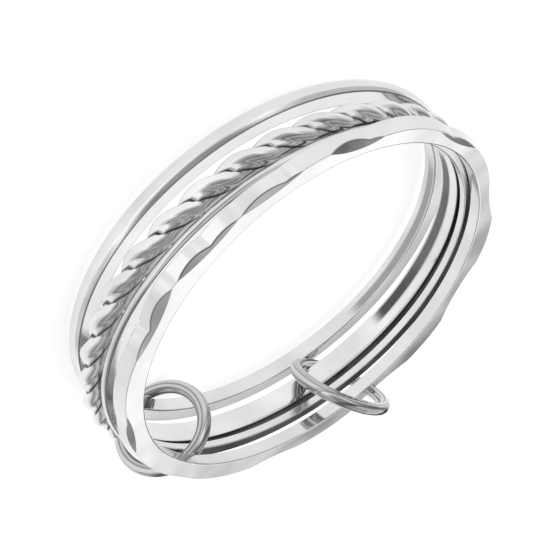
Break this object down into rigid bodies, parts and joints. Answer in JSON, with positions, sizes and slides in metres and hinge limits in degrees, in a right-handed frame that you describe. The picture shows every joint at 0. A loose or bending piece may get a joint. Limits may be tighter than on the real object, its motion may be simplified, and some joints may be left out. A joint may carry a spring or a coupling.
{
  "type": "silver ring",
  "caption": "Finger ring made as a stack of loose round bands, plain, rope-twisted, thin and hammered, held together by round-wire links.",
  "frame": {"origin": "on the axis of the finger hole, in the plane of the plain band's rear face", "axes": "+Z along the finger hole, from the plain band towards the hammered band; the links stand at the +X and +Y sides, and the rope shows on the -Y side"},
  "size_m": [0.0202, 0.0204, 0.0064],
  "materials": {
    "plain_band": "polished sterling silver",
    "rope_band": "polished sterling silver",
    "thin_band": "polished sterling silver",
    "hammered_band": "polished sterling silver",
    "left_link": "polished sterling silver",
    "right_link": "polished sterling silver"
  },
  "bodies": {
    "root": {"plain_band": "plain_band", "rope_band": "rope_band", "thin_band": "thin_band", "hammered_band": "hammered_band", "left_link": "left_link", "right_link": "right_link"}
  },
  "joints": []
}
